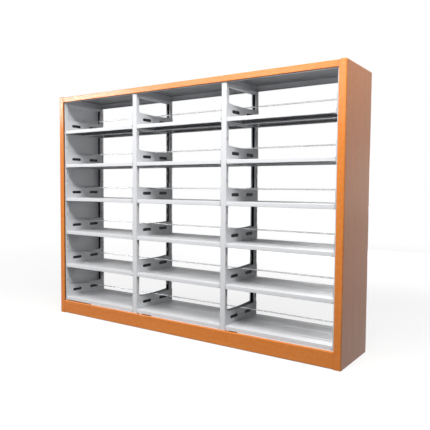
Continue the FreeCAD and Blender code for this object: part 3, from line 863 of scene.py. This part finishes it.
def makeBoardPair(values):
    # The front and the rear board of one shelf, centred at x = 0 with their undersides at z = 0.
    low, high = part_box("centre_shelf_1_boards")
    half, depth, height = (high.x - low.x) / 2, -low.y, high.z - low.z
    bend, hem, hemBend, lip = values["bend"], values["hem"], values["hemBend"], values["lip"] - height
    rear = -values["gap"] / 2
    across = bentPath([
        (hem - depth, lip), (hem - depth, -height, hemBend), (-depth, -height, bend), (-depth, 0, bend),
        (rear, 0, bend), (rear, -height, bend), (rear - hem, -height, hemBend), (rear - hem, lip)], steps=3)
    tray = foldedTray("boardTray", endProfile(half, bend, values["endFlange"]), across, height, shelfCoat)
    giveWall(tray, values["sheet"])
    middle, wide, under = (rear - depth) / 2, values["rib"] / 2, height - values["sheet"]
    foot, floor, ribBend = wide + values["ribFoot"], under - values["ribDepth"], values["ribBend"]
    path = bentPath([(middle - foot, under), (middle - wide, under, ribBend), (middle - wide, floor, ribBend),
                     (middle + wide, floor, ribBend), (middle + wide, under, ribBend), (middle + foot, under)],
                    steps=2)
    ribEnd = half - values["ribInset"]
    rib = sweptSheet("rib", path, [-ribEnd, 0, ribEnd], "x", shelfCoat)
    giveWall(faceOutwards(rib, (0, middle, -farAway)), values["sheet"])
    pair = mergedCopy("boardPair", [tray, rib], frontAndRear)
    discard(tray, rib)
    # Painted shade: a near-black colour on the undersides of the boards and ribs.
    markFaces(pair, "thin", lambda centre, normal: normal.z < -0.5 and centre.z > values["paintedShadeAbove"])
    return smoothBends(pair)


boardPair = makeBoardPair(boardValues)
print("boards made")

hangerValues = {
    "gap": 0.0003, "sheet": 0.0016, "bend": 0.003, "ledge": 0.0216, "ledgeInset": 0.002,
    "ledgeCorner": 0.006, "ledgeBlend": (0.001, 0.003), "boardTop": 0.030, "endRise": 0.108, "midRise": 0.097,
    "topSteps": 8, "corner": 0.008, "notch": 0.0096, "notchBottom": 0.0905,
    "grip": (0.105, 0.050, 0.106, 0.026),       # place along y, height over the board, length, width
    "rimWidth": 0.005, "rimHeight": 0.0020, "rimRings": (0.35, 0.7, 1.0),
    "pin": (0.198, 0.010, 0.007),               # place along y, height over the board, diameter
    "hookRise": 0.095, "hookNeck": 0.012, "hookDrop": 0.010, "hookNose": 0.004, "hookReach": 0.0025,
    "hookSheet": 0.002, "hookLine": 0.2175, "hookCorner": 0.0012, "hookSunk": 0.0008,
}
hangerFace = hangerValues["gap"] - (bayPitch - postValues["width"]) / 2
hangerPlaces = [flip @ shift(hangerFace) for flip in leftAndRight]


def makeHanger(values):
    # The left hanger of a bay: its post side at x = 0, its ledge towards +x, the board's underside at z = 0.
    half = -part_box("centre_shelf_1_hangers")[0].y
    low, bend, boardTop = -values["sheet"], values["bend"], values["boardTop"]
    endTop, midTop = boardTop + values["endRise"], boardTop + values["midRise"]
    path = bentPath([(values["ledge"], low), (0, low, bend), (0, endTop)], steps=4)
    lengths = pathLengths(path)

    def onPlate(z):
        return lengths[-2] + z - path[-2][1]

    def onTop(y):
        return onPlate(midTop + (endTop - midTop) * (y / half) ** 2), y

    inset, cut, blend = half - values["ledgeInset"], values["ledgeCorner"], values["ledgeBlend"]
    corner, notch, steps = values["corner"], values["notch"] / 2, values["topSteps"]
    plateStart = onPlate(low + bend)
    edge = [(0, cut - inset), (cut, -inset), (lengths[1], -inset), (plateStart + blend[0], -inset),
            (plateStart + blend[1], -half)]
    edge += [(onPlate(z), y) for y, z in arc(corner - half, endTop - corner, corner, 180, -90, 3)]
    edge += [onTop(corner - half + (half - corner - notch) * k / steps) for k in range(1, steps)]
    edge.append(onTop(-notch))
    rodSeat = arc(0, boardTop + values["notchBottom"] + notch, notch, 180, 180, 6)
    outline = [*edge, *((onPlate(z), y) for y, z in rodSeat), *((w, -y) for w, y in reversed(edge))]

    offset, rise, length, width = values["grip"]
    pinOffset, pinRise, pinSize = values["pin"]
    grips = [(onPlate(boardTop + rise), side * offset) for side in (-1, 1)]
    holes = []
    for side, grip in zip((-1, 1), grips):
        holes += [longHole(*grip, length, width, True),
                  circle(onPlate(boardTop + pinRise), side * pinOffset, pinSize / 2, 8)]
    rings = [longHole(*grip, length + grow, width + grow, True) for grip in grips
             for grow in (2 * share * values["rimWidth"] for share in values["rimRings"])]

    def pressedRim(w, v):
        away = min(math.hypot(w - gripW, max(0.0, abs(v - gripV) - (length - width) / 2))
                   for gripW, gripV in grips) - width / 2
        share = max(0.0, 1 - away / values["rimWidth"])
        return -values["rimHeight"] * share * share * (3 - 2 * share) if away > -1e-4 else 0.0

    plate = formedSheet("hangerPlate", path, outline, holes, "y", greyCoat, rings, pressedRim)
    giveWall(faceOutwards(plate, (-farAway, 0, -farAway)), values["sheet"])

    seat, sunk, cut = values["hookRise"], values["hookSunk"], values["hookCorner"]
    crown, tip = seat + values["hookNeck"], seat - values["hookDrop"]
    near, far = -values["hookReach"], -values["hookReach"] - values["hookNose"]
    side = [(sunk, seat), (sunk, crown), (far + cut * 2, crown), (far, crown - cut * 2), (far, tip + cut),
            (far + cut, tip), (near - cut / 2, tip), (near, tip + cut / 2), (near, seat)]
    hooks = closedPiece("hooks", [
        [[(x, line + end * values["hookSheet"] / 2, z) for x, z in side] for end in (-1, 1)]
        for line in (-values["hookLine"], values["hookLine"])], greyCoat)
    hanger = mergedCopy("hangerPair", [plate, hooks], hangerPlaces)
    discard(plate, hooks)
    return smoothBends(hanger)


hangerPair = makeHanger(hangerValues)

# Near-black ovals behind the hanger slots: painted shade, not a real part.
slotShadeValues = {"overlap": 0.004, "setBack": 0.0020, "wall": 0.0014, "edge": 0.0004}


def makeSlotShades(values, hanger):
    # Painted shade: near-black ovals set in behind the slots of both hangers, standing in for the shade seen
    # through them.
    offset, rise, length, width = hanger["grip"]
    front, back, edge = -values["setBack"], -values["setBack"] - values["wall"], values["edge"]

    def oval(x, side, inset):
        grow = 2 * (values["overlap"] - inset)
        loop = longHole(side * offset, hanger["boardTop"] + rise, length + grow, width + grow, False)
        return [(x, y, z) for y, z in loop]

    insert = closedPiece("insert", [
        [oval(x, side, inset) for x, inset in ((back, edge), (back + edge, 0), (front - edge, 0), (front, edge))]
        for side in (-1, 1)], footPlastic)
    inserts = mergedCopy("inserts", [insert], hangerPlaces)
    discard(insert)
    return inserts


slotShadeOvals = makeSlotShades(slotShadeValues, hangerValues)
print("hangers made")

rodValues = {"radius": 0.0045, "sides": 20, "chamfer": 0.0008, "groove": 0.0005, "grooveWidth": 0.003}


def makeRod(values):
    # A bar along x with chamfered ends and a groove where it sits in each hanger.
    low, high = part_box("centre_shelf_1_stop_rod")
    half, seat = (high.x - low.x) / 2, hangerFace + hangerValues["sheet"] / 2
    radius, cut, groove, wide = values["radius"], values["chamfer"], values["groove"], values["grooveWidth"] / 2
    profile = [(-half, radius - cut), (-half + cut, radius), (seat - wide - groove, radius),
               (seat - wide, radius - groove), (seat + wide, radius - groove), (seat + wide + groove, radius)]
    profile += [(-x, reach) for x, reach in reversed(profile)]
    loops = [[(x, y, z) for y, z in circle(0, 0, reach, values["sides"])] for x, reach in profile]
    return smoothBends(closedPiece("stopRod", [loops], platedSteel))


stopRod = makeRod(rodValues)
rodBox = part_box("centre_shelf_1_stop_rod")
rodHeight = (rodBox[0].z + rodBox[1].z) / 2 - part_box("centre_shelf_1_boards")[0].z
print("stop rods made")


def placeSet(label, body, stem, rodWord, columns):
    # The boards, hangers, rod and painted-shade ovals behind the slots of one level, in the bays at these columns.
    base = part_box(stem + "_boards")[0].z
    for word, master, slotName, rise, nodeWord in (
            ("Boards", boardPair, "shelf_enamel", 0.0, "_boards"),
            ("Hangers", hangerPair, "grey_enamel", 0.0, "_hangers"),
            ("StopRod", stopRod, "plated_steel", rodHeight, rodWord),
            ("Inserts", slotShadeOvals, "foot_plastic", 0.0, None)):
        piece = mergedCopy(label + word, [master], [shift(across, 0, base + rise) for across in columns])
        if nodeWord:
            rideAlong(smoothBends(piece), body, slotName, stem + nodeWord)
        else:
            rideAlong(piece, body, slotName)


for bay, across in bays.items():
    for level in range(1, 6):
        body = "%s_shelf_%d" % (bay, level)
        placeSet("%sShelf%d" % (bay, level), body, body, "_stop_rod", [across])
placeSet("base", "frame", "base", "_stop_rods", bays.values())
discard(boardPair, hangerPair, stopRod, slotShadeOvals, screwHead)
print("shelf sets placed")

# Painted shade: the liners' strips beside the posts get a near-black band.
linerValues = {**greyCoatValues, "tuck": 0.012}
linerValues["bareFrom"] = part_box("end_posts")[1].y - postValues["depth"] - linerValues["tuck"]


def dressNode(node, coat):
    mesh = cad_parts[node].data
    mesh.materials.clear()
    mesh.materials.append(coat)


dressNode("post_feet", footPlastic)
dressNode("guard_brackets", greyCoat)
dressNode("end_liners", makeEnamel("linerCoat", linerValues))

lightValues = {
    "ambient": 0.038,       # what the room gives to surfaces
    "floorReach": 30, "floorBounce": 0.05, "floorLit": 0.25,
    "floorGlow": (0.80, 1.0), "glowReach": (2.5, 9.0),      # near the shelving and far from it
    "lamps": (
        # name, place, aim, size, watts
        ("keyPanel", (1.4, -2.05, 4.0), (0.3, 0, 1.0), (2.6, 0.3), 120),
        ("leftPanel", (-5.9, -4.1, 3.05), (-0.6, 0, 1.6), (2.2, 1.0), 135),
        ("frontRow", (-2.3, -4.6, 3.05), (0.0, 0, 1.4), (6.4, 0.8), 142),
        ("rightPanel", (3.0, -0.6, 4.3), (1.3, 0, 1.5), (1.2, 0.8), 44),
        ("rearRow", (0.0, 6.5, 1.3), (0, 0, 1.1), (4.0, 1.2), 170),
    ),
}


def splitRays(tree, given, shown, outputKind):
    # given lights the pieces, and shown is what the camera, a glossy surface or glass sees.
    path = put(tree, "ShaderNodeLightPath").outputs
    seen = maths(tree, "ADD", path["Is Camera Ray"], path["Is Glossy Ray"], path["Is Transmission Ray"],
                 clamp=True)
    both = put(tree, "ShaderNodeMixShader", {0: seen, 1: given, 2: shown}).outputs[0]
    put(tree, outputKind, {"Surface": both})


def makeFloor(values):
    shape = bmesh.new()
    bmesh.ops.create_circle(shape, cap_ends=True, segments=64, radius=values["floorReach"])
    material, tree, place = newMaterial("paleFloor")
    dull, lit = (put(tree, "ShaderNodeBsdfDiffuse", {"Color": (values[key],) * 3 + (1,)}).outputs[0]
                 for key in ("floorBounce", "floorLit"))
    away = put(tree, "ShaderNodeVectorMath", {0: place}, operation="LENGTH").outputs["Value"]
    strength = spread(tree, away, *values["glowReach"], *values["floorGlow"])
    glow = put(tree, "ShaderNodeEmission", {"Color": (1, 1, 1, 1), "Strength": strength}).outputs[0]
    pale = put(tree, "ShaderNodeAddShader", {0: lit, 1: glow}).outputs[0]
    splitRays(tree, dull, pale, "ShaderNodeOutputMaterial")
    newPiece("floor", shape, material)


def makeWorld(values):
    world = bpy.data.worlds.new("paleRoom")
    bpy.context.scene.world = world
    world.use_nodes = True
    tree = world.node_tree
    tree.nodes.clear()
    ambient, white = (put(tree, "ShaderNodeBackground", {"Color": (1, 1, 1, 1), "Strength": strength}).outputs[0]
                      for strength in (values["ambient"], 1.0))
    splitRays(tree, ambient, white, "ShaderNodeOutputWorld")


def makeLamps(values):
    for name, place, aim, size, power in values["lamps"]:
        data = bpy.data.lights.new(name, "AREA")
        data.shape = "RECTANGLE"
        data.size, data.size_y = size
        data.energy = power
        turn = (Vector(aim) - Vector(place)).to_track_quat("-Z", "Y").to_matrix().to_4x4()
        addObject(name, data).matrix_world = Matrix.Translation(place) @ turn


makeFloor(lightValues)
makeWorld(lightValues)
makeLamps(lightValues)
bpy.context.scene.view_settings.view_transform = "Standard"
print("floor, world and lamps made")
